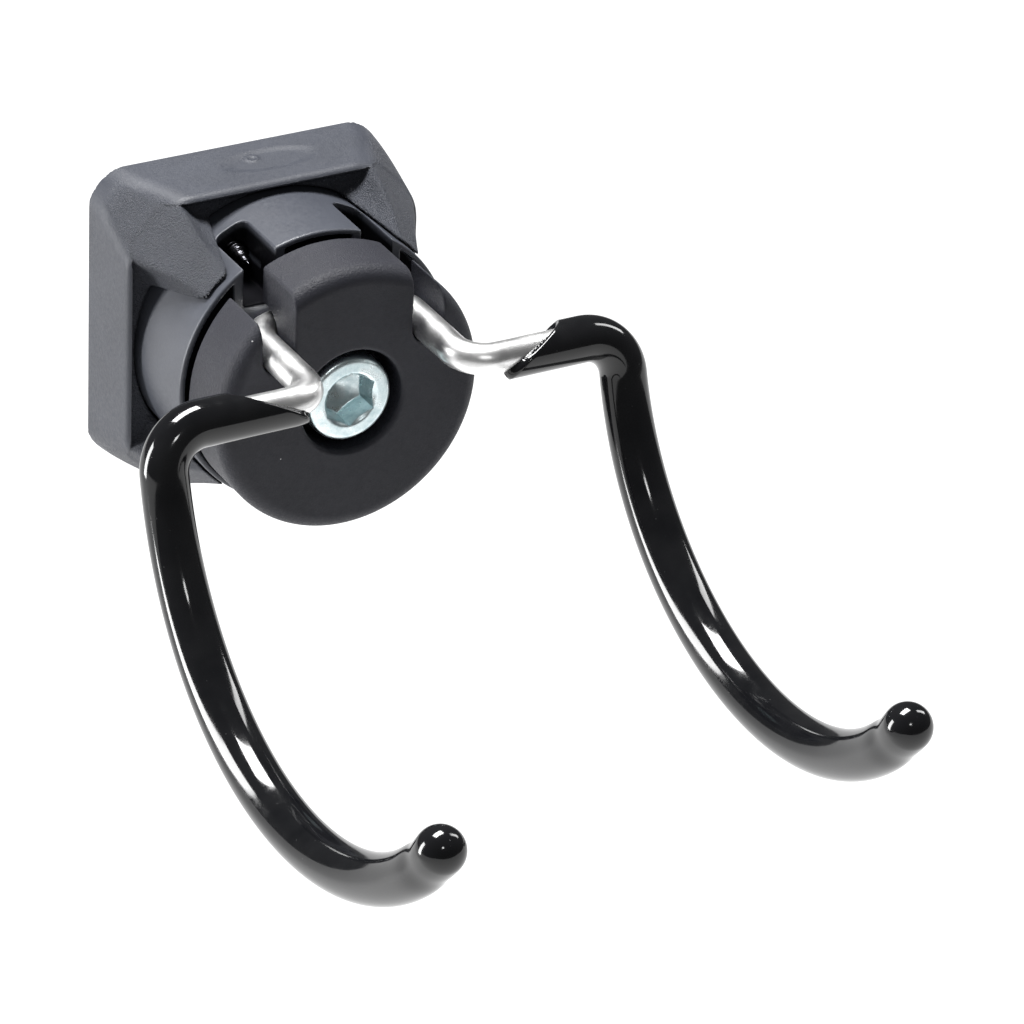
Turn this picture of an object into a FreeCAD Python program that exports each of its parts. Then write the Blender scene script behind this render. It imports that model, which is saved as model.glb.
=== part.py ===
"""Wall rack for one bicycle: a swivelling clamp head with a folding twin hook.

Frame: X to the right, +Y into the wall, +Z up, millimetres. The origin is where the axis
of the clamp screw meets the wall. "Depth" is the distance out from the wall, along -Y.
"""
import FreeCAD, Part
import math
import os
from FreeCAD import Placement, Rotation, Vector

# ---- wall base: moulded square cover ----
base_side = 63.5
base_depth = 18.5
base_corner_radius = 7.5
base_wall = 2.4
base_front_wall = 2.5
base_edge_radius = 1.2
corner_cut_wall = 2.1         # facet's distance along the diagonal from the square's sharp corner
corner_cut_front = 7.7        # the same facet at the front rim
ridge_overhang = 1.2          # hub front stands this far proud of the ridges
ridge_half_width_top = 3.3
ridge_half_width_foot = 8.5
ridge_half_width_outer = 7.6
rib_thickness = 2.0
rib_offset = 14.0
rib_length = 2.0              # reach of a standoff rib over the edge of the wall plate

# ---- wall plate and its welded nut ----
plate_gap = 0.65              # between the plate's edge and the cover's inside
plate_thickness = 3.0
plate_corner_radius = 7.5
wall_hole_spacing = 44.0
wall_hole_radius = 2.75
nut_across_flats = 18.0
nut_height = 10.8
nut_gap = 1.5                 # between the nut and the hub's boss

# ---- swivel hub, its retaining ring and screws ----
hub_radius = 29.2
hub_depth = 21.2              # from the hub's back to its front
hub_skirt_wall = 3.0
hub_web = 3.5
hub_face_height = 3.5         # raised middle of the front, which the hook's bar bears on
hub_rim_wall = 1.1
hub_recess_width = 6.6        # ring-shaped recess between the rim and the raised middle
hub_boss_radius = 12.0
hub_rib_count = 8
hub_rib_thickness = 2.2
swivel_gap = 0.3              # running gap all round between hub and base
ledge_depth = 12.0            # back face of the ledge that holds the hub
ledge_thickness = 3.0
ledge_lap = 2.0               # how far the ledge reaches under the hub's skirt
ring_gap = 0.2
ring_thickness = 1.6
ring_width = 8.9
hub_screw_radius = 2.1
hub_screw_head_radius = 3.9
hub_screw_head_height = 2.4
hub_screw_length = 19.0
hub_screw_inset = 5.22        # from the hub's outside
hub_screw_angle = 62.15       # degrees above and below the level line
hub_post_wall = 1.8
pocket_inner = 9.3            # the pockets lie either side of the hub's tongue
pocket_width = 6.6
pocket_floor = 16.5
pocket_back = 22.8
pocket_wall = 2.0
pocket_corner_radius = 1.8

# ---- clamp cap ----
cap_radius = 28.1
cap_gap = 1.4                 # between hub front and cap back when the hook is clamped
cap_thickness = 14.4
cap_edge_radius = 2.5
cap_recess_radius = 10.8
cap_recess_depth = 9.0
cap_recess_lip = 1.0
spigot_length = 4.5
spigot_gap = 0.3
notch_gap = 0.3

# ---- clamp screw, M12 ----
screw_radius = 6.0
screw_head_radius = 9.0
screw_head_height = 12.0
screw_head_sink = 0.8         # head below the cap's front face
screw_end_gap = 4.5           # between the screw's end and the wall
screw_clearance = 0.5
screw_running_gap = 0.05
screw_seat_gap = 0.25
socket_across_flats = 10.0
socket_depth = 6.0
screw_chamfer = 0.9

# ---- hook: bent wire with a dipped coat on each arm ----
wire_radius = 3.1
bar_seat_gap = 0.06           # between the clamped bar and the hub's front
bar_running_gap = 0.06
bar_height = 12.7
leg_x = 16.07
leg_bend_radius = 6.2
leg_length = 28.99            # from the middle of the bar to the middle of the arm
elbow_bend_radius = 6.2
arm_x = 49.0
arm_bend_radius = 8.5
arm_splay = 0.0385            # slope outwards where the arm leaves its corner
arm_bow_radius = 1106.0       # the arm then bows gently inwards
cradle_radius = 60.5
cradle_start = 15.3           # degrees off vertical where the cradle's arc begins
cradle_end = 143.0            # degrees, past the bottom at 90
cradle_points = 12
coat_thickness = 1.75
coat_tip_slimming = 0.15      # the coat's round tip is this much slimmer
coat_tip_reach = 1.6          # coat beyond the wire's end
left_dip = (0.63, -0.70, -16.3)    # dip line: slope outwards, slope towards the wall, level
right_dip = (0.85, -0.81, -24.9)

# ---- derived ----
half_side = base_side / 2
corner_reach_wall = half_side * math.sqrt(2) - corner_cut_wall
corner_reach_front = half_side * math.sqrt(2) - corner_cut_front
hub_back = ledge_depth + ledge_thickness + swivel_gap
hub_front = hub_back + hub_depth
nut_front = plate_thickness + nut_height
boss_back = nut_front + nut_gap
cap_back = hub_front + cap_gap
cap_front = cap_back + cap_thickness
hub_bore_radius = screw_radius + screw_clearance
socket_radius = hub_radius + swivel_gap
ledge_inner_radius = socket_radius - swivel_gap - ledge_lap
neck_radius = ledge_inner_radius - swivel_gap
hub_face_radius = hub_radius - hub_rim_wall - hub_recess_width
hub_post_radius = hub_screw_radius + hub_post_wall
ring_outer_radius = hub_radius - swivel_gap
ring_inner_radius = ring_outer_radius - ring_width
ring_front = ledge_depth - ring_gap
ring_back = ring_front - ring_thickness
ridge_front = hub_front - ridge_overhang
bar_depth = hub_front + bar_seat_gap + wire_radius
arm_depth = bar_depth + leg_length
coat_radius = wire_radius + coat_thickness
coat_tip_radius = coat_radius - coat_tip_slimming
groove_radius = wire_radius + bar_running_gap
notch_half_width = wire_radius + notch_gap
bend_groove_radius = wire_radius + 0.8 * notch_gap
head_front = cap_front - screw_head_sink
head_seat = head_front - screw_head_height
socket_bottom = head_front - socket_depth
head_bore_radius = screw_head_radius + screw_seat_gap
spigot_radius = bar_height - groove_radius - 0.2
diagonals = (45, 135, 225, 315)
quarters = (0, 90, 180, 270)


def rod(radius, near, far, x=0.0, z=0.0):
    """Cylinder along the wall's normal, between two depths."""
    return Part.makeCylinder(radius, far - near, Vector(x, -near, z), Vector(0, -1, 0))


def tube(outer, inner, near, far):
    return rod(outer, near, far).cut(rod(inner, near - 1, far + 1))


def block(x_low, x_high, near, far, z_low, z_high):
    corner = Vector(x_low, -far, z_low)
    return Part.makeBox(x_high - x_low, far - near, z_high - z_low, corner)


def about_screw(shape, degrees):
    """Copy turned about the clamp screw's axis, from +X towards +Z."""
    turned = shape.copy()
    turned.rotate(Vector(0, 0, 0), Vector(0, -1, 0), degrees)
    return turned


def join(shapes):
    return shapes[0].multiFuse(shapes[1:]).removeSplitter() if len(shapes) > 1 else shapes[0]


def edges_where(shape, test):
    return [edge for edge in shape.Edges if test(edge)]


def rounded_square(side, radius, near, far):
    half = side / 2
    body = block(-half, half, near, far, -half, half)
    long_edges = edges_where(body, lambda e: abs(abs(e.tangentAt(e.FirstParameter).y) - 1) < 1e-6)
    return body.makeFillet(radius, long_edges)


def polyhedron(faces):
    shell = Part.Shell([Part.Face(Part.makePolygon(list(face) + [face[0]])) for face in faces])
    return Part.Solid(shell)


def prism(across_flats, near, far):
    """Hexagonal prism with two vertical flats."""
    reach = across_flats / math.sqrt(3)
    angles = [math.radians(30 + 60 * k) for k in range(7)]
    outline = [Vector(reach * math.cos(a), -near, reach * math.sin(a)) for a in angles]
    return Part.Face(Part.makePolygon(outline)).extrude(Vector(0, near - far, 0))


# ---- wall base ----
def facet_cutter(inset):
    """Everything outside the flat facet on the corner that points along +X, before it is turned."""
    big = 4 * base_side
    slope = math.degrees(math.atan2(corner_reach_wall - corner_reach_front, base_depth))
    cutter = Part.makeBox(big, big, big, Vector(0, -big / 2, -big / 2))
    cutter.rotate(Vector(0, 0, 0), Vector(0, 0, 1), -slope)
    cutter.translate(Vector(corner_reach_wall - inset, 0, 0))
    return cutter


def cover_form(inset, front):
    """Square block with its four corners cut to facets; inset gives the inside of the wall."""
    form = rounded_square(base_side - 2 * inset, base_corner_radius - inset, 0, front)
    for angle in diagonals:
        form = form.cut(about_screw(facet_cutter(inset), angle))
    return form


def ridge(inset):
    """Gusset that climbs from a corner of the cover to the hub, along +X before it is turned."""
    inner = socket_radius - hub_skirt_wall
    top = ridge_front - inset
    rim = base_depth - inset
    foot = base_depth - base_front_wall
    reach = corner_reach_front - inset
    half_top = ridge_half_width_top - inset / 2
    half_foot = ridge_half_width_foot - inset
    half_outer = ridge_half_width_outer - inset
    a, b = Vector(reach, -rim, -half_outer), Vector(reach, -rim, half_outer)
    c, d = Vector(inner, -top, half_top), Vector(inner, -top, -half_top)
    e, f = Vector(inner, -foot, half_foot), Vector(inner, -foot, -half_foot)
    return polyhedron([(a, b, c, d), (a, f, e, b), (c, e, f, d), (b, e, c), (a, d, f)])


def standoff_rib():
    """Rib on a side wall that bears on the front of the wall plate."""
    plate_edge = half_side - base_wall - plate_gap
    front = base_depth - base_front_wall / 2
    outside = half_side - base_wall / 2
    return block(plate_edge - rib_length, outside, plate_thickness, front,
                 rib_offset - rib_thickness / 2, rib_offset + rib_thickness / 2)


def wall_base():
    outside = cover_form(0, base_depth)
    rim_edges = edges_where(outside, lambda e: abs(e.BoundBox.YMin + base_depth) < 1e-6
                            and abs(e.BoundBox.YMax + base_depth) < 1e-6)
    outside = outside.makeFillet(base_edge_radius, rim_edges)
    outside = join([outside] + [about_screw(ridge(0), angle) for angle in diagonals])
    inside = cover_form(base_wall, base_depth - base_front_wall)
    hollows = [about_screw(ridge(base_wall), angle) for angle in diagonals]
    inside = join([inside] + hollows)
    socket_wall = rod(half_side - base_edge_radius, ledge_depth, ridge_front + 1)
    shell = outside.cut(inside)
    shell = join([shell, socket_wall.common(outside)])
    ribs = [about_screw(standoff_rib(), angle) for angle in quarters]
    mirrored = [rib.mirror(Vector(0, 0, 0), Vector(1, 0, 0)) for rib in ribs]
    shell = join([shell] + ribs + mirrored)
    shell = shell.cut(rod(ledge_inner_radius, ledge_depth - 1, ridge_front + 2))
    return shell.cut(rod(socket_radius, ledge_depth + ledge_thickness, ridge_front + 2))


# ---- wall plate ----
def wall_plate():
    side = base_side - 2 * (base_wall + plate_gap)
    plate = rounded_square(side, plate_corner_radius, 0, plate_thickness)
    plate = plate.cut(rod(hub_bore_radius, -1, plate_thickness + 1))
    offset = wall_hole_spacing / 2
    for x in (-offset, offset):
        for z in (-offset, offset):
            plate = plate.cut(rod(wall_hole_radius, -1, plate_thickness + 1, x, z))
    return plate


def plate_nut():
    nut = prism(nut_across_flats, plate_thickness, nut_front)
    corner_radius = nut_across_flats / math.sqrt(3)
    cone = Part.makeCone(corner_radius + nut_height, nut_across_flats / 2 - 0.3,
                         nut_height, Vector(0, -plate_thickness, 0), Vector(0, -1, 0))
    nut = nut.common(cone)
    return nut.cut(rod(screw_radius + screw_running_gap, plate_thickness - 1, nut_front + 1))


# ---- swivel hub ----
def hub_screw_places():
    reach = hub_radius - hub_screw_inset
    x = reach * math.cos(math.radians(hub_screw_angle))
    z = reach * math.sin(math.radians(hub_screw_angle))
    return [(-x, -z), (-x, z), (x, -z), (x, z)]


def pocket(side, inset):
    """Open-topped pocket beside the tongue; a negative inset gives the walls around it."""
    outer = pocket_inner + pocket_width
    low, high = sorted((side * (pocket_inner + inset), side * (outer - inset)))
    top = hub_radius + 1
    body = block(low, high, pocket_back + inset, hub_front + 1, pocket_floor + inset, top)
    back = edges_where(body, lambda e: abs(e.BoundBox.YMax + pocket_back + inset) < 1e-6
                       and e.BoundBox.YLength < 1e-6 and e.BoundBox.XLength < 1e-6)
    return body.makeFillet(pocket_corner_radius, back)


def swivel_hub():
    envelope = rod(hub_radius, hub_back, hub_front)
    skirt = tube(hub_radius, hub_radius - hub_skirt_wall, hub_back, hub_front)
    web_near = hub_front - hub_face_height - hub_web
    web = rod(hub_radius - hub_skirt_wall / 2, web_near, hub_front)
    boss = rod(hub_boss_radius, boss_back, hub_front)
    neck = tube(neck_radius, ring_inner_radius - 1, ring_front, hub_back + hub_skirt_wall)
    rib_near = hub_back + hub_skirt_wall
    half = hub_rib_thickness / 2
    rib = block(hub_boss_radius - 1, hub_radius - 1, rib_near, web_near + 1, -half, half)
    ribs = [about_screw(rib, 360 * k / hub_rib_count) for k in range(hub_rib_count)]
    posts = [rod(hub_post_radius, hub_back, web_near + 1, x, z).common(envelope)
             for x, z in hub_screw_places()]
    floors = [pocket(side, -pocket_wall).common(envelope) for side in (-1, 1)]
    hub = join([skirt, web, boss, neck] + ribs + posts)
    rim_recess = tube(hub_radius - hub_rim_wall, hub_face_radius,
                      hub_front - hub_face_height, hub_front + 1)
    hub = join([hub.cut(rim_recess)] + floors)
    for side in (-1, 1):
        hub = hub.cut(pocket(side, 0))
    screw_tip = ring_back + hub_screw_length
    for x, z in hub_screw_places():
        hub = hub.cut(rod(hub_screw_radius + screw_running_gap, ring_back, screw_tip + 1, x, z))
    hub = hub.cut(rod(hub_bore_radius, 0, hub_front + 1))
    return hub.cut(rod(spigot_radius + spigot_gap, cap_back - spigot_length - spigot_gap, hub_front + 1))


def retaining_ring():
    ring = tube(ring_outer_radius, ring_inner_radius, ring_back, ring_front)
    for x, z in hub_screw_places():
        ring = ring.cut(rod(hub_screw_radius + 0.15, ring_back - 1, ring_front + 1, x, z))
    return ring


def hub_screw(x, z):
    head = rod(hub_screw_head_radius, ring_back - hub_screw_head_height, ring_back, x, z)
    rim = edges_where(head, lambda e: e.BoundBox.YLength < 1e-6
                      and abs(e.BoundBox.YMax + ring_back - hub_screw_head_height) < 1e-6)
    head = head.makeFillet(hub_screw_head_height / 2, rim)
    tip_length = 2 * hub_screw_radius
    tip_start = ring_back + hub_screw_length - tip_length
    shank = rod(hub_screw_radius, ring_back, tip_start, x, z)
    tip = Part.makeCone(hub_screw_radius, hub_screw_radius / 5, tip_length,
                        Vector(x, -tip_start, z), Vector(0, -1, 0))
    return join([head, shank, tip])


def hub_screws():
    return Part.makeCompound([hub_screw(x, z) for x, z in hub_screw_places()])


# ---- clamp cap ----
def notch(side):
    """Slot for one leg of the hook, round at the bottom and open at the top."""
    centre = side * leg_x
    slot = block(centre - notch_half_width, centre + notch_half_width,
                 cap_back - 1, cap_front + 1, bar_height, cap_radius + 1)
    return join([slot, rod(notch_half_width, cap_back - 1, cap_front + 1, centre, bar_height)])


def bar_groove():
    """Groove across the back for the hook's bar, flared where the bar bends into the legs."""
    inner = leg_x - leg_bend_radius
    edge = leg_x - notch_half_width
    axis = Vector(1, 0, 0)
    start = Vector(-leg_x, -bar_depth, bar_height)
    straight = Part.makeCylinder(groove_radius, 2 * leg_x, start, axis)
    opening = block(-leg_x, leg_x, cap_back - 1, bar_depth,
                    bar_height - groove_radius, bar_height + groove_radius)
    throat = leg_bend_radius - math.sqrt((leg_bend_radius - wire_radius) ** 2 - (edge - inner) ** 2)
    flare = Part.makeCone(groove_radius, throat + 2 * notch_gap, edge - inner + notch_gap,
                          Vector(inner, -bar_depth, bar_height), axis)
    other = flare.mirror(Vector(0, 0, 0), axis)
    bend = swept([Part.Arc(*leg_bend(1)).toShape()], bend_groove_radius)
    return [straight, opening, flare, other, bend, bend.mirror(Vector(0, 0, 0), axis)]


def clamp_cap():
    body = rod(cap_radius, cap_back, cap_front)
    spigot = rod(spigot_radius, cap_back - spigot_length, cap_back + 1)
    body = body.cut(notch(-1)).cut(notch(1))
    front = edges_where(body, lambda e: abs(e.BoundBox.YMin + cap_front) < 1e-6
                        and e.Curve.TypeId == "Part::GeomCircle"
                        and e.Curve.Radius > cap_radius / 2)
    body = body.makeFillet(cap_edge_radius, front)
    body = join([body, spigot])
    for cutter in bar_groove():
        body = body.cut(cutter)
    recess = rod(cap_recess_radius, cap_front - cap_recess_depth, cap_front + 1)
    lip = Part.makeCone(cap_recess_radius, cap_recess_radius + cap_recess_lip + 0.5, cap_recess_lip + 0.5,
                        Vector(0, cap_recess_lip - cap_front, 0), Vector(0, -1, 0))
    body = body.cut(recess).cut(lip)
    body = body.cut(rod(head_bore_radius, head_seat, cap_front))
    return body.cut(rod(hub_bore_radius, 0, cap_front))


# ---- clamp screw ----
def clamp_screw():
    head = rod(screw_head_radius, head_seat, head_front)
    rim = edges_where(head, lambda e: e.BoundBox.YLength < 1e-6
                      and abs(e.BoundBox.YMin + head_front) < 1e-6)
    head = head.makeChamfer(screw_chamfer, rim)
    shank = rod(screw_radius, screw_end_gap, head_seat)
    end = edges_where(shank, lambda e: e.BoundBox.YLength < 1e-6
                      and abs(e.BoundBox.YMax + screw_end_gap) < 1e-6)
    shank = shank.makeChamfer(screw_chamfer, end)
    screw = join([head, shank])
    screw = screw.cut(prism(socket_across_flats, socket_bottom, head_front + 1))
    drill = Part.makeCone(0, socket_across_flats / 2, socket_across_flats / 4,
                          Vector(0, socket_across_flats / 4 - socket_bottom, 0), Vector(0, -1, 0))
    return screw.cut(drill)


# ---- hook ----
def rounded_corner(before, corner, after, radius):
    """Tangent points and middle of an arc that rounds a corner of the wire's path."""
    back = (before - corner).normalize()
    ahead = (after - corner).normalize()
    half = back.getAngle(ahead) / 2
    setback = radius / math.tan(half)
    middle = (back + ahead).normalize() * (radius / math.sin(half) - radius)
    return corner + back * setback, corner + middle, corner + ahead * setback


def cradle_point(side, degrees):
    """Point on the cradle's arc, which starts a bend's radius below the arm's corner."""
    start = math.radians(cradle_start)
    here = math.radians(degrees)
    run = arm_bend_radius * math.sin(start) + cradle_radius * (math.cos(start) - math.cos(here))
    drop = arm_bend_radius * math.cos(start) + cradle_radius * (math.sin(here) - math.sin(start))
    x = arm_x + arm_splay * run - run ** 2 / (2 * arm_bow_radius)
    return Vector(side * x, -arm_depth - run, bar_height - drop)


def cradle_curve(side):
    """Smooth curve through evenly spaced points of the cradle."""
    step = (cradle_end - cradle_start) / (cradle_points - 1)
    points = [cradle_point(side, cradle_start + k * step) for k in range(cradle_points)]
    curve = Part.BSplineCurve()
    curve.interpolate(points)
    return curve


def arm_path(side, first_depth):
    """Edges from the leg at first_depth, round the elbow and the arm's corner, to the hook's tip."""
    start = Vector(side * leg_x, -first_depth, bar_height)
    elbow = Vector(side * leg_x, -arm_depth, bar_height)
    corner = Vector(side * arm_x, -arm_depth, bar_height)
    cradle = cradle_curve(side)
    cradle_top = cradle.StartPoint
    e1, e2, e3 = rounded_corner(start, elbow, corner, elbow_bend_radius)
    c1, c2, c3 = rounded_corner(elbow, corner, cradle_top, arm_bend_radius)
    curves = [Part.LineSegment(start, e1), Part.Arc(e1, e2, e3), Part.LineSegment(e3, c1),
              Part.Arc(c1, c2, c3), Part.LineSegment(c3, cradle_top), cradle]
    return [curve.toShape() for curve in curves]


def swept(edges, radius):
    """Round bar of the given radius along joined edges."""
    path = Part.Wire(edges)
    first = edges[0]
    start = first.valueAt(first.FirstParameter)
    profile = Part.Wire(Part.makeCircle(radius, start, first.tangentAt(first.FirstParameter)))
    return path.makePipeShell([profile], True, False)


def leg_bend(side):
    """Start, middle and end of the bend between the hook's bar and one leg."""
    middle = Vector(0, -bar_depth, bar_height)
    corner = Vector(side * leg_x, -bar_depth, bar_height)
    ahead = Vector(side * leg_x, -arm_depth, bar_height)
    return rounded_corner(middle, corner, ahead, leg_bend_radius)


def half_wire(side):
    middle = Vector(0, -bar_depth, bar_height)
    b1, b2, b3 = leg_bend(side)
    bar = [Part.LineSegment(middle, b1).toShape(), Part.Arc(b1, b2, b3).toShape()]
    return swept(bar + arm_path(side, bar_depth + leg_bend_radius), wire_radius)


def hook_wire():
    return join([half_wire(-1), half_wire(1)])


def above_dip_line(side, dip):
    """The space that stayed above the liquid when the arm was dipped."""
    rise, lean, level = dip
    big = 6 * arm_depth
    space = Part.makeBox(big, big, big, Vector(-big / 2, -big / 2, 0))
    normal = Vector(-side * rise, -lean, 1)
    turn = Rotation(Vector(0, 0, 1), normal)
    space.Placement = Placement(Vector(0, -arm_depth, bar_height + level), turn)
    return space


def coating(side, dip, wire):
    edges = arm_path(side, arm_depth - 2 * elbow_bend_radius)
    coat = swept(edges, coat_radius)
    last = edges[-1]
    tip = last.valueAt(last.LastParameter) + last.tangentAt(last.LastParameter) * coat_tip_reach
    coat = coat.fuse(Part.makeSphere(coat_tip_radius, tip))
    return coat.cut(above_dip_line(side, dip)).cut(wire).removeSplitter()


def save(node, shape):
    shape.exportStep("parts/%s.step" % node)
    print(node, "solids", len(shape.Solids), "valid", shape.isValid(), "volume %.0f" % shape.Volume)


def main():
    os.makedirs("parts", exist_ok=True)
    wire = hook_wire()
    nodes = {
        "wall_base": wall_base(),
        "wall_plate": wall_plate(),
        "plate_nut": plate_nut(),
        "swivel_hub": swivel_hub(),
        "retaining_ring": retaining_ring(),
        "hub_screws": hub_screws(),
        "clamp_cap": clamp_cap(),
        "clamp_screw": clamp_screw(),
        "hook_wire": wire,
        "left_coating": coating(-1, left_dip, wire),
        "right_coating": coating(1, right_dip, wire),
    }
    for node, shape in nodes.items():
        save(node, shape)


main()
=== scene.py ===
"""Looks for the bicycle wall rack: moulded base, hub and cap, bent zinc wire and dipped coats.

Shapes are worked out in millimetres as (x, depth from the wall, z) and stored in metres in
the frame's own axes, where depth runs along -Y.
"""

import math

import bpy
import numpy as np
from mathutils import Matrix


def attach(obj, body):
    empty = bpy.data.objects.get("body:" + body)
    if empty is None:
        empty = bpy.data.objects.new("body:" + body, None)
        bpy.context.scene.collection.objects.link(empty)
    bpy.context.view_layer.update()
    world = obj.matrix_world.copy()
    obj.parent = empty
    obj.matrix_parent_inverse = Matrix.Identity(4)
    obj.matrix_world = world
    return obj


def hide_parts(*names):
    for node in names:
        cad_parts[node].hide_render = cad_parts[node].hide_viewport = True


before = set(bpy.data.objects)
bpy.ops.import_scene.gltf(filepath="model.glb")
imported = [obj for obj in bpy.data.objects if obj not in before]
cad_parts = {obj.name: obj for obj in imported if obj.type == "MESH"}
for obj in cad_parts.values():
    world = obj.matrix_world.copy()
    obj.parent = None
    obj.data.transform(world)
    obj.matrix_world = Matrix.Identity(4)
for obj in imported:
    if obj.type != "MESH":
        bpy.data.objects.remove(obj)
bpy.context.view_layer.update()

MM = 0.001

# ---- sizes in millimetres, the same as the frame's ----
BASE_HALF, BASE_CORNER, BASE_WALL = 31.75, 7.5, 2.4
FACET_REACH, FACET_SLOPE = 42.8, 0.303
RIDGE_FRONT, RIDGE_START = 35.3, 29.6
SOCKET_R = 29.5
LEDGE_R, LEDGE_BACK, LEDGE_FRONT = 27.2, 12.0, 15.0
HUB_R, HUB_BACK, HUB_FRONT = 29.2, 15.3, 36.5
HUB_SKIRT_R, HUB_BOSS_R, HUB_WEB_BACK = 26.2, 12.0, 29.5
RECESS_INNER, RECESS_OUTER, RECESS_FLOOR = 21.5, 28.1, 33.0
POCKET_X, POCKET_HALF, POCKET_BACK, POCKET_FLOOR, POCKET_WALL = 12.6, 3.3, 22.8, 16.5, 2.0
HUB_SCREW_X, HUB_SCREW_Z, HUB_SCREW_R, HUB_POST_R = 11.2, 21.2, 2.1, 3.9
CAP_R, CAP_BACK, CAP_FRONT, CAP_EDGE = 28.1, 37.9, 52.3, 3.4
CAP_WELL_R, CAP_WELL_FLOOR = 10.8, 43.3
NOTCH_HALF = 3.36
BORE_R = 6.5
BAR_D, BAR_Z, BAR_GROOVE_R = 39.66, 12.7, 3.16
WIRE_R = 3.1
LEG_X, LEG_BEND = 16.07, 6.2
ARM_D, ARM_X, ARM_BEND = 68.65, 49.0, 8.5
HEAD_R, HEAD_SEAT, HEAD_FRONT = 9.0, 39.5, 51.5
SOCKET_HALF, SOCKET_BOTTOM = 5.0, 45.5
SCREW_END, SCREW_R = 4.5, 6.0
COAT_TIP_R, COAT_TIP_REACH = 4.7, 1.6
CRADLE_R = 60.5
CRADLE_START, CRADLE_END = math.radians(15.3), math.radians(143.0)


# ---- fields: negative inside, positive outside, in millimetres ----
def blend_min(a, b, k):
    """Either of two, with a soft valley k wide where they are nearly equal."""
    h = np.maximum(k - np.abs(a - b), 0.0)
    return np.minimum(a, b) - h * h / (4.0 * k)


def blend_max(a, b, k):
    """Both at once, with a soft edge k wide where they are nearly equal."""
    return -blend_min(-a, -b, k)


def round_max(a, b, r):
    """Both at once, with a rounded edge of radius r between them."""
    return np.minimum(-r, np.maximum(a, b)) + np.hypot(np.maximum(a + r, 0), np.maximum(b + r, 0))


def step01(t):
    t = np.clip(t, 0.0, 1.0)
    return t * t * (3.0 - 2.0 * t)


def square_field(x, z, half, corner):
    a, b = np.abs(x) - (half - corner), np.abs(z) - (half - corner)
    return np.hypot(np.maximum(a, 0), np.maximum(b, 0)) + np.minimum(np.maximum(a, b), 0) - corner


def gate_mark(x, d):
    """Shallow oval sink on the cover's top, with the small raised ring of the moulding gate."""
    oval = np.hypot((x - 3.2) / 11.0, (d - 8.6) / 4.6)
    ring = np.hypot(x - 0.3, d - 6.8)
    return 0.32 * step01((1.05 - oval) / 0.4) - 0.22 * np.exp(-((ring - 1.1) / 0.45) ** 2)


def facet_field(u, d):
    """Flat across a corner of the cover, leaning in towards the front; u is the reach on its diagonal."""
    return (u - FACET_REACH + FACET_SLOPE * d) * 0.957


def base_field(x, d, z):
    """Moulded cover: square sides, corner facets, ridges up to the hub and the hollow behind."""
    r = np.hypot(x, z)
    u = (np.abs(x) + np.abs(z)) / math.sqrt(2)
    v = np.abs(np.abs(x) - np.abs(z)) / math.sqrt(2)
    sides = square_field(x, z, BASE_HALF, BASE_CORNER) + gate_mark(x, d) * (z > 0)
    facet = facet_field(u, d)
    outline = blend_max(sides, facet, 2.8)
    edge = np.maximum(np.abs(x), np.abs(z))
    floor = d - (16.8 + 2.0 * step01((edge - 30.0) / 0.8))
    top = (d - RIDGE_FRONT + 2.117 * (u - 29.4)) / 2.34
    run = np.clip(u - RIDGE_START, 0.0, 7.6)
    hollowed = v + 0.558 * run - 4.24 * (run / 7.6) ** 1.8
    flank = (d - RIDGE_FRONT + 3.478 * (hollowed - 3.3) + 0.177 * (u - RIDGE_START)) / 3.62
    ridge = blend_max(top, flank, 1.3)
    front = blend_min(floor, ridge, 0.9)
    outside = blend_max(outline, front, 2.2)
    inner_sides = square_field(x, z, BASE_HALF - BASE_WALL, BASE_CORNER - BASE_WALL)
    inside = np.maximum(inner_sides, facet + BASE_WALL)
    hollow = np.maximum(inside, d - LEDGE_BACK)
    hollow = np.minimum(hollow, np.maximum(np.maximum(inside, d - 16.0), 30.6 - r))
    solid = round_max(outside, SOCKET_R - r, 0.45)
    ledge = np.maximum(np.maximum(outside, LEDGE_R - r), d - LEDGE_FRONT)
    solid = np.minimum(solid, ledge)
    return np.maximum(np.maximum(solid, -hollow), -d)


def pocket_across(x):
    """Distance sideways out of the two pockets."""
    return np.abs(np.abs(x) - POCKET_X) - POCKET_HALF


def hub_field(x, d, z):
    """Swivelling hub: drum, front recess, two pockets with their walls, screw posts and neck."""
    r = np.hypot(x, z)
    body = round_max(round_max(r - HUB_R, d - HUB_FRONT, 0.55), HUB_BACK - d, 0.3)
    across = pocket_across(x)
    pocket = round_max(round_max(across, POCKET_BACK - d, 1.9), POCKET_FLOOR - z, 0.4)
    walls = np.maximum(across - POCKET_WALL, POCKET_BACK - POCKET_WALL - d)
    walls = np.maximum(walls, POCKET_FLOOR - POCKET_WALL - z)
    recess = np.maximum(np.maximum(RECESS_INNER - r, r - RECESS_OUTER), np.maximum(RECESS_FLOOR - d, -walls))
    body = round_max(round_max(body, -recess, 0.2), -pocket, 0.3)
    hollow = np.maximum(np.maximum(r - HUB_SKIRT_R, HUB_BOSS_R - r), np.maximum(d - HUB_WEB_BACK, -walls))
    screw = np.hypot(np.abs(x) - HUB_SCREW_X, np.abs(z) - HUB_SCREW_Z)
    hollow = np.maximum(hollow, HUB_POST_R - screw)
    body = np.maximum(body, -hollow)
    neck = np.maximum(np.maximum(r - 26.9, 19.0 - r), np.maximum(11.8 - d, d - 18.3))
    body = np.minimum(body, neck)
    shank = np.maximum(screw - HUB_SCREW_R - 0.05, d - 30.2)
    body = np.maximum(body, -shank)
    body = np.maximum(body, BORE_R - r)
    return np.maximum(body, -np.maximum(r - 9.65, 33.1 - d))


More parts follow.
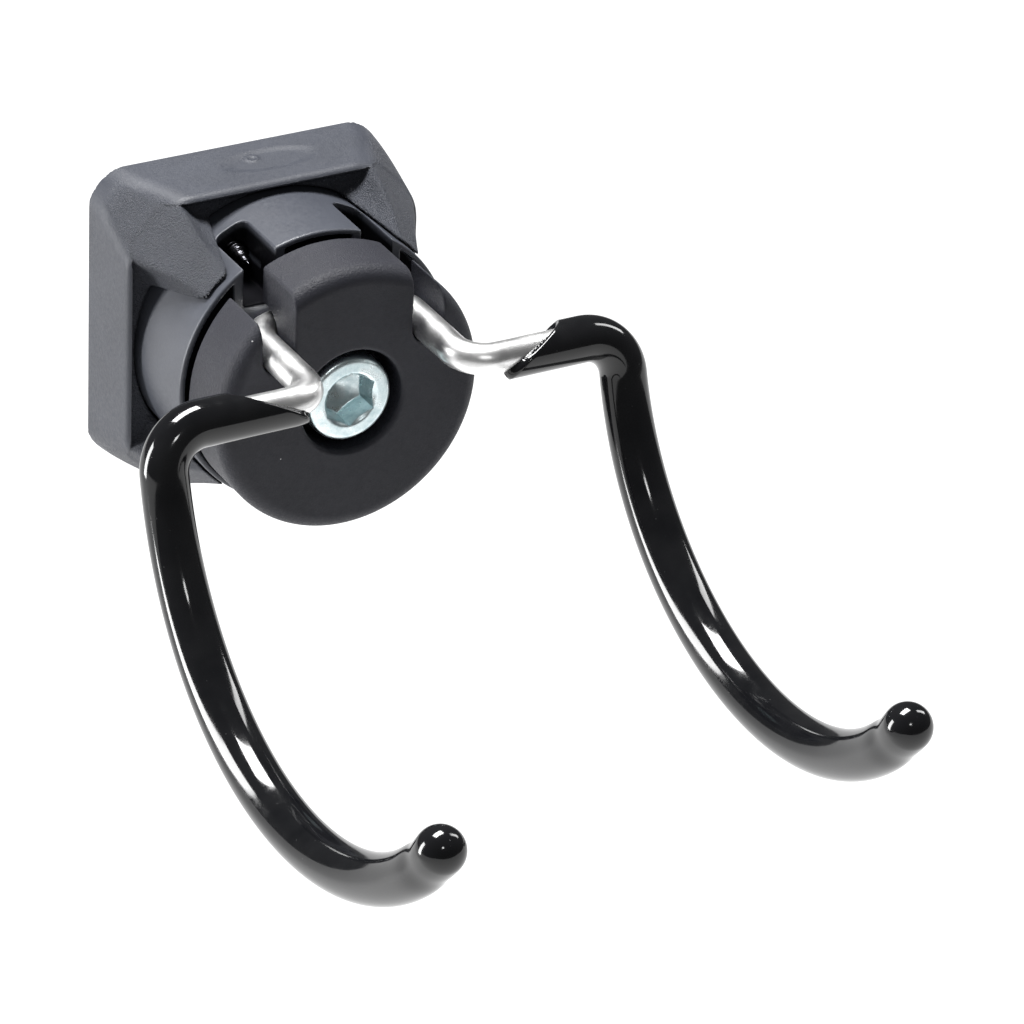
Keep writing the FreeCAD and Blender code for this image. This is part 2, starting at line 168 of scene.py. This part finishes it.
def cap_field(x, d, z):
    """Clamp cap: disc with two open notches, a groove for the bar, a spigot and the screw's well."""
    r = np.hypot(x, z)
    body = round_max(round_max(r - CAP_R, d - CAP_FRONT, CAP_EDGE), CAP_BACK - d, 0.45)
    offset = np.abs(x) - LEG_X
    notch = np.where(z > BAR_Z, np.abs(offset), np.hypot(offset, z - BAR_Z)) - NOTCH_HALF
    body = round_max(body, -notch, 0.45)
    spigot = np.maximum(r - 9.34, np.maximum(33.4 - d, d - 40.0))
    body = np.minimum(body, spigot)
    bar = np.hypot(np.minimum(BAR_D - d, 0.0), z - BAR_Z) - BAR_GROOVE_R
    flare = BAR_GROOVE_R + 0.7 * np.clip(np.abs(x) - LEG_X + LEG_BEND, 0, 3.5)
    bend = np.hypot(d - BAR_D, z - BAR_Z) - flare
    body = np.maximum(body, -np.maximum(np.minimum(bar, bend), np.abs(x) - 13.5))
    well = np.where(d > CAP_WELL_FLOOR, CAP_WELL_R, np.where(d > HEAD_SEAT, HEAD_R + 0.25, BORE_R))
    return round_max(body, well - r, 0.9)


def head_field(x, d, z):
    """Screw head with a chamfered rim and a hexagon socket."""
    r = np.hypot(x, z)
    head = np.maximum(r - HEAD_R, d - HEAD_FRONT)
    head = blend_max(head, (r + d - HEAD_R - HEAD_FRONT + 0.8) * 0.707, 0.5)
    head = np.maximum(head, HEAD_SEAT - d)
    flats = [np.abs(x * math.cos(a) + z * math.sin(a)) for a in (0, math.pi / 3, 2 * math.pi / 3)]
    hexagon = np.maximum(np.maximum(flats[0], flats[1]), flats[2]) - SOCKET_HALF
    cone = (r * 0.42 + SOCKET_BOTTOM - 2.1 - d) * 0.92
    socket = blend_max(hexagon, cone, 0.25)
    mouth = (r - 5.15 - (d - HEAD_FRONT + 0.55)) * 0.707
    socket = np.minimum(socket, np.maximum(mouth, HEAD_FRONT - 1.5 - d))
    return blend_max(head, -socket, 0.25)


# ---- meshing ----
def slopes(field, points):
    """Unit outward directions of a field at points."""
    e = 0.02
    x, d, z = points.T
    g = np.stack([field(x + e, d, z) - field(x - e, d, z),
                  field(x, d + e, z) - field(x, d - e, z),
                  field(x, d, z + e) - field(x, d, z - e)], axis=1)
    size = np.linalg.norm(g, axis=1, keepdims=True)
    return g / np.maximum(size, 1e-9), size[:, 0] / (2 * e)


def surface(name, field, low, high, cell):
    """Mesh of the field's zero surface: one vertex for each cell that the surface crosses."""
    axes = [np.arange(a - 1.5 * cell, b + 2.5 * cell, cell) for a, b in zip(low, high)]
    gx, gd, gz = np.meshgrid(*axes, indexing="ij", sparse=True)
    f = field(gx + 0 * gd + 0 * gz, gd + 0 * gx + 0 * gz, gz + 0 * gx + 0 * gd)
    inside = f < 0
    n = [len(a) for a in axes]
    total = np.zeros([k - 1 for k in n])
    mix = np.zeros([k - 1 for k in n] + [3])
    corners = [(i, j, k) for i in (0, 1) for j in (0, 1) for k in (0, 1)]

    def part(array, shift):
        return array[tuple(slice(s, s + m - 1) for s, m in zip(shift, n))]

    for axis in range(3):
        for c in corners:
            if c[axis]:
                continue
            c2 = tuple(v + (i == axis) for i, v in enumerate(c))
            fa, fb = part(f, c), part(f, c2)
            cross = part(inside, c) != part(inside, c2)
            t = np.where(cross, fa / np.where(cross, fa - fb, 1.0), 0.0)
            total += cross
            for i in range(3):
                mix[..., i] += np.where(cross, c[i] + (t if i == axis else 0.0), 0.0)
    active = total > 0
    index = np.full(total.shape, -1)
    index[active] = np.arange(active.sum())
    cells = np.argwhere(active)
    start = np.array([a[0] for a in axes])
    points = start + (cells + mix[active] / total[active][:, None]) * cell
    quads = []
    for axis in range(3):
        b, c = [(1, 2), (2, 0), (0, 1)][axis]
        lower = [slice(1, m - 1) for m in n]
        lower[axis] = slice(0, n[axis] - 1)
        upper = list(lower)
        upper[axis] = slice(1, n[axis])
        here, there = inside[tuple(lower)], inside[tuple(upper)]
        for where, flip in ((here & ~there, False), (~here & there, True)):
            at = np.argwhere(where)
            at[:, [i for i in range(3) if i != axis]] += 1
            ring = []
            for sb, sc in ((-1, -1), (0, -1), (0, 0), (-1, 0)):
                cell_at = at.copy()
                cell_at[:, b] += sb
                cell_at[:, c] += sc
                ring.append(index[tuple(cell_at.T)])
            ring = np.stack(ring[::-1] if flip else ring, axis=1)
            quads.append(ring)
    quads = np.concatenate(quads)
    for _ in range(2):
        normal, size = slopes(field, points)
        value = field(*points.T)
        move = np.clip(value / np.maximum(size, 0.3), -0.4 * cell, 0.4 * cell)
        points = points - normal * move[:, None]
    normal, _ = slopes(field, points)
    return build(name, points, quads[:, ::-1], normal)


def to_frame(points):
    return np.stack([points[:, 0], -points[:, 1], points[:, 2]], axis=1)


def build(name, points, quads, normals=None):
    """Object from points in millimetres as (x, depth, z), with smooth shading."""
    mesh = bpy.data.meshes.new(name)
    mesh.from_pydata((to_frame(points) * MM).tolist(), [], quads.tolist())
    mesh.validate()
    mesh.update()
    mesh.polygons.foreach_set("use_smooth", [True] * len(mesh.polygons))
    if normals is not None:
        mesh.normals_split_custom_set_from_vertices(to_frame(normals).tolist())
    obj = bpy.data.objects.new(name, mesh)
    bpy.context.scene.collection.objects.link(obj)
    return obj


def fillet(points, radii, gap=0.4):
    """Points along a bent line: straight runs joined by arcs of the given radii."""
    out = [points[0]]
    for before, corner, after, radius in zip(points, points[1:], points[2:], radii):
        a = (before - corner) / np.linalg.norm(before - corner)
        b = (after - corner) / np.linalg.norm(after - corner)
        half = math.acos(float(a @ b)) / 2
        centre = corner + (a + b) / np.linalg.norm(a + b) * radius / math.sin(half)
        first = corner + a * radius / math.tan(half)
        last = corner + b * radius / math.tan(half)
        turn = math.pi - 2 * half
        count = max(int(turn * radius / gap), 4)
        p, q = first - centre, last - centre
        for k in range(count + 1):
            t = k / count
            out.append(centre + (math.sin((1 - t) * turn) * p + math.sin(t * turn) * q) / math.sin(turn))
    out.append(points[-1])
    return even(np.array(out), gap)


def even(points, gap):
    """The same line with evenly spaced points."""
    run = np.concatenate([[0], np.cumsum(np.linalg.norm(np.diff(points, axis=0), axis=1))])
    keep = np.concatenate([[True], np.diff(run) > 1e-6])
    run, points = run[keep], points[keep]
    s = np.linspace(0, run[-1], max(int(run[-1] / gap), 2) + 1)
    return np.stack([np.interp(s, run, points[:, i]) for i in range(3)], axis=1)


def cradle(side):
    """The arm's curve below its corner, bowed gently in plan."""
    a = np.linspace(CRADLE_START, CRADLE_END, 200)
    run = ARM_BEND * math.sin(CRADLE_START) + CRADLE_R * (math.cos(CRADLE_START) - np.cos(a))
    drop = ARM_BEND * math.cos(CRADLE_START) + CRADLE_R * (np.sin(a) - math.sin(CRADLE_START))
    x = ARM_X + 0.0385 * run - run ** 2 / 2212.0
    return np.stack([side * x, ARM_D + run, BAR_Z - drop], axis=1)


def arm(side, start, radii):
    """Line from the start, round the elbow and the arm's corner, to the hook's tip."""
    curve = cradle(side)
    elbow = np.array([side * LEG_X, ARM_D, BAR_Z])
    corner = np.array([side * ARM_X, ARM_D, BAR_Z])
    bent = fillet(start + [elbow, corner, curve[0]], radii)
    return np.concatenate([bent, curve[1:]])


def tube(name, line, radius, around):
    """Closed skin round a line; radius(run, angle, places) gives its radius at each of its points."""
    n = len(line)
    tangent = np.gradient(line, axis=0)
    tangent /= np.linalg.norm(tangent, axis=1, keepdims=True)
    side = np.cross(tangent[0], [0.3, 0.1, 0.9])
    side /= np.linalg.norm(side)
    frames = []
    for t in tangent:
        side = side - t * (side @ t)
        side /= np.linalg.norm(side)
        frames.append((side, np.cross(t, side)))
    run = np.concatenate([[0], np.cumsum(np.linalg.norm(np.diff(line, axis=0), axis=1))])
    angle = np.arange(around) * 2 * math.pi / around
    a = np.array([f[0] for f in frames])[:, None, :]
    b = np.array([f[1] for f in frames])[:, None, :]
    out = a * np.cos(angle)[None, :, None] + b * np.sin(angle)[None, :, None]
    r = radius(run[:, None], angle[None, :], line[:, None, :] + 4.3 * out)
    points = (line[:, None, :] + out * r[..., None]).reshape(-1, 3)
    i, j = np.meshgrid(np.arange(n - 1), np.arange(around), indexing="ij")
    k = (j + 1) % around
    quads = np.stack([i * around + j, (i + 1) * around + j, (i + 1) * around + k, i * around + k], axis=-1)
    quads = quads.reshape(-1, 4).tolist()
    quads.append([(n - 1) * around + m for m in range(around)])
    quads.append([around - 1 - m for m in range(around)])
    mesh = bpy.data.meshes.new(name)
    mesh.from_pydata((to_frame(points) * MM).tolist(), [], [q[::-1] for q in quads])
    mesh.validate()
    mesh.polygons.foreach_set("use_smooth", [True] * len(mesh.polygons))
    mesh.update()
    obj = bpy.data.objects.new(name, mesh)
    bpy.context.scene.collection.objects.link(obj)
    return obj


def with_tip(line, reach, ball):
    """The line run on straight past its end, then with points spaced for a round tip."""
    way = line[-1] - line[-2]
    way /= np.linalg.norm(way)
    line = even(np.concatenate([line, [line[-1] + way * reach]]), 0.3)
    turns = np.arange(1, 33) * math.pi / 64
    return np.concatenate([line, line[-1] + way * ball * np.sin(turns)[:, None]])


def make_coat(name, side, dip):
    """Dipped coat, from a slanted dip line to the arm's round tip."""
    rise, lean, level = dip
    line = arm(side, [np.array([side * LEG_X, 56.0, BAR_Z])], [LEG_BEND, ARM_BEND])
    line = with_tip(line, COAT_TIP_REACH, COAT_TIP_R)
    length = np.linalg.norm(np.diff(line, axis=0), axis=1).sum()
    hidden = WIRE_R - 0.2

    def radius(run, angle, places):
        x, d, z = places[..., 0], places[..., 1], places[..., 2]
        under = rise * np.abs(x) - lean * (d - ARM_D) + level - (z - BAR_Z)
        fall = step01((BAR_Z - z) / 46.0)
        left = np.maximum(length - run, 0.0)
        neck = 0.28 * np.exp(-((left - 9.5) / 3.2) ** 2)
        full = 4.62 + 0.33 * fall - neck - 0.22 * step01(1 - left / 8.0)
        cap = np.sqrt(np.clip(1 - (np.maximum(COAT_TIP_R - left, 0) / COAT_TIP_R) ** 2, 0, 1))
        lip = np.sqrt(np.clip(under / 0.75, 0, 1))
        return (hidden + (full - hidden) * lip) * cap + 1e-4
    return tube(name, line, radius, around=88)


def make_wire():
    """One wire from tip to tip, by way of the bar behind the cap."""
    left, right = (arm(side, [np.array([0.0, BAR_D, BAR_Z]), np.array([side * LEG_X, BAR_D, BAR_Z])],
                       [LEG_BEND, LEG_BEND, ARM_BEND]) for side in (-1, 1))
    line = even(np.concatenate([left[::-1], right[1:]]), 0.45)

    def radius(run, angle, places):
        return WIRE_R + 0.012 * np.sin(run * 0.9 + 2 * np.sin(angle))
    return tube("hook_rod", line, radius, around=48)


def thread(name, centre, start, end, radius, pitch, depth, taper=0.0):
    """Threaded shank along the wall's normal, tapered to a point over its last stretch."""
    x, z = centre
    count = int((end - start) / 0.12)
    d = np.linspace(start, end, count)
    line = np.stack([np.full(count, x), d, np.full(count, z)], axis=1)

    def shape(run, angle, places):
        phase = (run / pitch - angle / (2 * math.pi)) % 1.0
        crest = np.clip(1 - np.abs(phase - 0.5) / 0.28, 0, 1)
        tip = 1.0 if taper == 0 else np.clip((end - start - run) / taper, 0.06, 1.0)
        return (radius - depth + depth * crest) * tip
    return tube(name, line, shape, around=40)


# ---- materials ----
class Nodes:
    """Short calls for building a material's node tree."""

    def __init__(self, name):
        self.material = bpy.data.materials.new(name)
        self.material.use_nodes = True
        self.tree = self.material.node_tree
        self.shader = self.tree.nodes["Principled BSDF"]
        self.place = self.tree.nodes.new("ShaderNodeTexCoord").outputs["Object"]

    def link(self, a, b):
        self.tree.links.new(a, b)

    def noise(self, scale, detail=2.0, rough=0.5, vector=None):
        n = self.tree.nodes.new("ShaderNodeTexNoise")
        n.inputs["Scale"].default_value = scale
        n.inputs["Detail"].default_value = detail
        n.inputs["Roughness"].default_value = rough
        self.link(vector or self.place, n.inputs["Vector"])
        return n.outputs["Fac"]

    def dots(self, scale, vector=None):
        n = self.tree.nodes.new("ShaderNodeTexVoronoi")
        n.inputs["Scale"].default_value = scale
        self.link(vector or self.place, n.inputs["Vector"])
        return n.outputs["Distance"], n.outputs["Color"]

    def stretch(self, scale):
        n = self.tree.nodes.new("ShaderNodeMapping")
        n.inputs["Scale"].default_value = scale
        self.link(self.place, n.inputs["Vector"])
        return n.outputs["Vector"]

    def math(self, kind, a, b=0.0, c=None):
        n = self.tree.nodes.new("ShaderNodeMath")
        n.operation = kind
        for socket, value in zip(n.inputs, (a, b, c)):
            if value is None:
                continue
            if isinstance(value, (int, float)):
                socket.default_value = value
            else:
                self.link(value, socket)
        return n.outputs[0]

    def ramp(self, fac, stops):
        n = self.tree.nodes.new("ShaderNodeValToRGB")
        ramp = n.color_ramp
        while len(ramp.elements) < len(stops):
            ramp.elements.new(0.5)
        for element, (at, colour) in zip(ramp.elements, stops):
            element.position = at
            element.color = (*colour, 1.0)
        self.link(fac, n.inputs["Fac"])
        return n.outputs["Color"]

    def scale_range(self, fac, low, high, to_low, to_high):
        n = self.tree.nodes.new("ShaderNodeMapRange")
        for socket, value in zip(n.inputs[1:5], (low, high, to_low, to_high)):
            socket.default_value = value
        self.link(fac, n.inputs[0])
        return n.outputs[0]

    def mix(self, fac, a, b):
        n = self.tree.nodes.new("ShaderNodeMix")
        n.data_type = "RGBA"
        for socket, value in ((n.inputs[0], fac), (n.inputs[6], a), (n.inputs[7], b)):
            if isinstance(value, tuple):
                socket.default_value = (*value, 1.0)
            else:
                self.link(value, socket)
        return n.outputs[2]

    def attribute(self, name):
        n = self.tree.nodes.new("ShaderNodeAttribute")
        n.attribute_name = name
        return n.outputs["Fac"]

    def bump(self, height, strength, distance):
        n = self.tree.nodes.new("ShaderNodeBump")
        n.inputs["Strength"].default_value = strength
        n.inputs["Distance"].default_value = distance
        self.link(height, n.inputs["Height"])
        old = self.shader.inputs["Normal"].links
        if old:
            self.link(old[0].from_socket, n.inputs["Normal"])
        self.link(n.outputs["Normal"], self.shader.inputs["Normal"])

    def set(self, **values):
        for key, value in values.items():
            self.shader.inputs[key.replace("_", " ")].default_value = value


def plastic(name, dark, light, grain=0.0, roughness=(0.42, 0.58), specks=0.0, painted_shade=False, shine=0.4):
    """Moulded plastic; grain and the painted shade use the values stored on the mesh under their names, the
    painted shade mixing the colour to near black with a weaker specular.
    """
    m = Nodes(name)
    cloud = m.noise(90.0, 3.0, 0.6)
    fine = m.noise(5500.0, 3.0, 0.65)
    tone = m.math("MULTIPLY_ADD", fine, 0.5, m.math("MULTIPLY", cloud, 0.5))
    colour = m.ramp(tone, [(0.3, dark), (0.7, light)])
    if specks:
        gap, pick = m.dots(330.0)
        bright = m.math("LESS_THAN", gap, 0.05)
        split = m.tree.nodes.new("ShaderNodeSeparateColor")
        m.link(pick, split.inputs[0])
        few = m.math("GREATER_THAN", split.outputs[0], 1.0 - specks)
        colour = m.mix(m.math("MULTIPLY", bright, few), colour, (0.45, 0.45, 0.46))
    if painted_shade:
        # painted shade: near black colour and a weaker specular where the mesh's painted-shade value is high
        hidden = m.attribute("painted_shade")
        colour = m.mix(hidden, colour, (0.003, 0.003, 0.004))
        m.link(m.scale_range(hidden, 0.0, 1.0, 0.45, 0.05), m.shader.inputs["Specular IOR Level"])
    m.link(colour, m.shader.inputs["Base Color"])
    rough = m.scale_range(m.noise(1500.0, 3.0), 0.3, 0.7, *roughness)
    m.link(rough, m.shader.inputs["Roughness"])
    m.bump(fine, 0.14 + 0.1 * grain, 0.00008)
    if grain:
        worn = m.attribute("grain")
        speckle = m.noise(3000.0, 2.0, 0.7)
        m.bump(m.math("MULTIPLY", speckle, worn), 1.0, 0.0005 * grain)
    m.set(IOR=1.5)
    if not painted_shade:
        m.set(Specular_IOR_Level=shine)
    return m


def zinc(name, colour, dull, roughness, streak):
    """Zinc-plated steel: patches of brighter and duller plating over a fine texture."""
    m = Nodes(name)
    patches = m.noise(1.0, 4.0, 0.65, m.stretch(streak))
    fine = m.noise(2600.0, 2.0)
    tone = m.math("MULTIPLY_ADD", patches, 0.8, m.math("MULTIPLY", fine, 0.2))
    m.link(m.ramp(tone, [(0.34, dull), (0.62, colour)]), m.shader.inputs["Base Color"])
    m.link(m.scale_range(tone, 0.35, 0.7, roughness[1], roughness[0]), m.shader.inputs["Roughness"])
    m.bump(patches, 0.25, 0.00018)
    m.bump(fine, 0.3, 0.00006)
    m.set(Metallic=1.0)
    return m


def vinyl(name):
    """Glossy dipped coat with tiny pits and a slightly wavy skin."""
    m = Nodes(name)
    cloud = m.noise(140.0, 2.0)
    m.link(m.ramp(cloud, [(0.3, (0.0035, 0.0037, 0.0045)), (0.7, (0.007, 0.0072, 0.008))]),
           m.shader.inputs["Base Color"])
    gap, pick = m.dots(420.0)
    pit = m.math("LESS_THAN", gap, 0.045)
    smooth = m.scale_range(m.noise(420.0, 2.0), 0.3, 0.7, 0.07, 0.13)
    m.link(m.math("MULTIPLY_ADD", pit, 0.3, smooth), m.shader.inputs["Roughness"])
    m.bump(m.noise(110.0, 1.0), 0.12, 0.0002)
    m.set(IOR=1.52, Specular_IOR_Level=0.5)
    return m


def dress(obj, m):
    """Gives an object one material."""
    obj.data.materials.clear()
    obj.data.materials.append(m.material)


def add_values(obj, name, rule):
    """Stores a value on each vertex, worked out from its place in millimetres."""
    mesh = obj.data
    co = np.empty(len(mesh.vertices) * 3)
    mesh.vertices.foreach_get("co", co)
    co = co.reshape(-1, 3) / MM
    value = rule(co[:, 0], -co[:, 1], co[:, 2])
    layer = mesh.attributes.new(name, "FLOAT", "POINT")
    layer.data.foreach_set("value", value)


def hub_painted_shade(x, d, z):
    """Painted shade on the hub: how near black its front recess and its two pockets are painted."""
    r = np.hypot(x, z)
    recess = step01((RECESS_OUTER - 0.2 - r) / 0.3) * step01((HUB_FRONT - 0.2 - d) / 0.8)
    recess = recess * (d > RECESS_FLOOR - 0.5)
    pocket = step01((0.35 - pocket_across(x)) / 0.3) * step01((HUB_R - 0.5 - r) / 1.2)
    pocket = pocket * (z > POCKET_FLOOR - 0.5) * (d > POCKET_BACK - 0.5)
    return np.clip(recess + pocket, 0.0, 1.0)


def base_grain(x, d, z):
    """Spark-eroded grain: faint on the sides, full on the front and on the facets' fronts."""
    u = (np.abs(x) + np.abs(z)) / math.sqrt(2)
    edge = np.maximum(np.abs(x), np.abs(z))
    sides = step01((edge - 30.3) / 0.7)
    facet = step01((u - FACET_REACH + FACET_SLOPE * d + 1.2) / 1.2) * step01((d - 3.0) / 9.0)
    return 0.12 + 0.88 * np.maximum((1 - sides), facet) * step01((d - 2.0) / 6.0)


# ---- pieces ----
coarseness = 1.0
cover = plastic("moulded_cover", (0.028, 0.031, 0.040), (0.046, 0.050, 0.063), grain=1.0)
# The hub's material paints shade near black into its front recess and pockets, from the value stored on its
# mesh.
hub_skin = plastic("moulded_hub", (0.036, 0.039, 0.049), (0.055, 0.060, 0.074),
                   roughness=(0.36, 0.48), painted_shade=True)
cap_skin = plastic("moulded_cap", (0.015, 0.0155, 0.021), (0.024, 0.025, 0.033), grain=0.35,
                   roughness=(0.46, 0.6), specks=0.10, shine=0.28)
wire_skin = zinc("bright_wire", (0.98, 0.98, 0.98), (0.84, 0.84, 0.83), (0.26, 0.4), (160.0, 160.0, 160.0))
screw_skin = zinc("bright_screw", (0.86, 0.95, 0.96), (0.56, 0.70, 0.73), (0.2, 0.4), (340.0, 340.0, 340.0))
# Darkened copy of the screw zinc, as painted shade for the hub fixings that sit deep in the pockets.
painted_shade_screw_skin = zinc("shaded_screw", (0.10, 0.10, 0.11), (0.03, 0.03, 0.035), (0.12, 0.3),
                 (340.0, 340.0, 340.0))
steel = zinc("plated_steel", (0.72, 0.73, 0.74), (0.5, 0.51, 0.53), (0.3, 0.5), (90.0, 90.0, 90.0))
coat_skin = vinyl("dipped_vinyl")

base = surface("base_cover", base_field, (-32, 0, -32), (32, 36, 32), 0.45 * coarseness)
add_values(base, "grain", base_grain)
dress(base, cover)
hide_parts("wall_base")
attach(base, "base")

hub = surface("round_hub", hub_field, (-29.3, 11.7, -29.3), (29.3, 36.6, 29.3), 0.4 * coarseness)
# stores the hub's painted shade, near black in its front recess and pockets
add_values(hub, "painted_shade", hub_painted_shade)
dress(hub, hub_skin)
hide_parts("swivel_hub")
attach(hub, "head")

cap = surface("clamp_face", cap_field, (-28.2, 33.3, -28.2), (28.2, 52.4, 28.2), 0.36 * coarseness)
add_values(cap, "grain", lambda x, d, z: 1.0 - step01((d - 51.0) / 1.2) * 0.6)
dress(cap, cap_skin)
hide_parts("clamp_cap")
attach(cap, "cap")

head = surface("screw_head", head_field, (-9.1, 39.4, -9.1), (9.1, 51.6, 9.1), 0.16 * coarseness)
shank = thread("screw_shank", (0.0, 0.0), SCREW_END, HEAD_SEAT + 0.2, SCREW_R, 1.75, 0.9)
for piece in (head, shank):
    dress(piece, screw_skin)
    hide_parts("clamp_screw")
    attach(piece, "screw")

for number, (sx, sz) in enumerate([(-1, -1), (-1, 1), (1, -1), (1, 1)]):
    place = (sx * HUB_SCREW_X, sz * HUB_SCREW_Z)
    fixing = thread("hub_fixing_%d" % number, place, 8.2, 29.2, HUB_SCREW_R, 1.4, 0.45, taper=4.0)
    dress(fixing, painted_shade_screw_skin)
    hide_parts("hub_screws")
    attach(fixing, "head")

wire = make_wire()
dress(wire, wire_skin)
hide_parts("hook_wire")
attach(wire, "hook")

for side, word, dip in ((-1, "left", (0.63, -0.70, -16.3)), (1, "right", (0.85, -0.81, -24.9))):
    coat = make_coat(word + "_dip", side, dip)
    dress(coat, coat_skin)
    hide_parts(word + "_coating")
    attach(coat, "hook")

for node in ("wall_plate", "plate_nut", "retaining_ring"):
    dress(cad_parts[node], steel)


# ---- stage, light and camera ----
def plane(name, centre, right, up, width, height):
    c, r, u = np.array(centre), np.array(right) * width / 2, np.array(up) * height / 2
    mesh = bpy.data.meshes.new(name)
    corners = [tuple(c - r - u), tuple(c + r - u), tuple(c + r + u), tuple(c - r + u)]
    mesh.from_pydata(corners, [], [(0, 1, 2, 3)])
    obj = bpy.data.objects.new(name, mesh)
    bpy.context.scene.collection.objects.link(obj)
    return obj


floor = plane("floor", (0, 0, -0.9), (1, 0, 0), (0, 1, 0), 14.0, 14.0)
paper = Nodes("pale_floor")
paper.link(paper.ramp(paper.noise(6.0), [(0.0, (0.98, 0.98, 0.98)), (1.0, (1.0, 1.0, 1.0))]),
           paper.shader.inputs["Emission Color"])
paper.set(Roughness=0.9, Emission_Strength=1.0, Base_Color=(0.3, 0.3, 0.3, 1.0))
dress(floor, paper)


def softbox(name, at, target, width, height, power):
    """White area light that faces its target."""
    light = bpy.data.lights.new(name, "AREA")
    light.shape = "RECTANGLE"
    light.size, light.size_y = width, height
    light.energy = power
    obj = bpy.data.objects.new(name, light)
    way = np.array(at, float) - np.array(target, float)
    way /= np.linalg.norm(way)
    right = np.cross([0, 0, 1], way)
    right /= np.linalg.norm(right)
    up = np.cross(way, right)
    obj.matrix_world = Matrix([[right[i], up[i], way[i], at[i]] for i in range(3)] + [[0, 0, 0, 1]])
    bpy.context.scene.collection.objects.link(obj)
    return obj


middle = (0.0, -0.08, 0.0)
softbox("left_box", (-1.5, 0.75, 0.1), middle, 0.45, 1.2, 33.0)
softbox("top_box", (-0.1, 0.5, 1.6), middle, 1.1, 0.6, 78.0)
softbox("right_box", (1.4, 0.1, 1.0), middle, 0.3, 1.0, 10.0)
softbox("front_box", (-0.5, -1.6, 1.3), middle, 0.25, 0.25, 3.5)

world = bpy.data.worlds.new("studio")
world.use_nodes = True
world.node_tree.nodes["Background"].inputs[0].default_value = (1, 1, 1, 1)
world.node_tree.nodes["Background"].inputs[1].default_value = 0.09
bpy.context.scene.world = world
bpy.context.scene.view_settings.view_transform = "Standard"

AZIMUTH, ELEVATION, ROLL = math.radians(30.182), math.radians(29.635), math.radians(2.807)
EYE = (-0.440025, -0.871791, 0.506193)


def aim_camera():
    """Looks down at the rack from its left front, with the photograph's slight roll."""
    look = np.array([math.sin(AZIMUTH) * math.cos(ELEVATION), math.cos(AZIMUTH) * math.cos(ELEVATION),
                     -math.sin(ELEVATION)])
    level = np.array([math.cos(AZIMUTH), -math.sin(AZIMUTH), 0.0])
    upright = np.cross(level, look)
    right = math.cos(ROLL) * level + math.sin(ROLL) * upright
    up = math.cos(ROLL) * upright - math.sin(ROLL) * level
    data = bpy.data.cameras.new("camera")
    data.sensor_width = 36.0
    data.lens = 193.46
    data.clip_end = 50.0
    obj = bpy.data.objects.new("camera", data)
    obj.matrix_world = Matrix([[right[i], up[i], -look[i], EYE[i]] for i in range(3)] + [[0, 0, 0, 1]])
    bpy.context.scene.collection.objects.link(obj)
    bpy.context.scene.camera = obj


aim_camera()
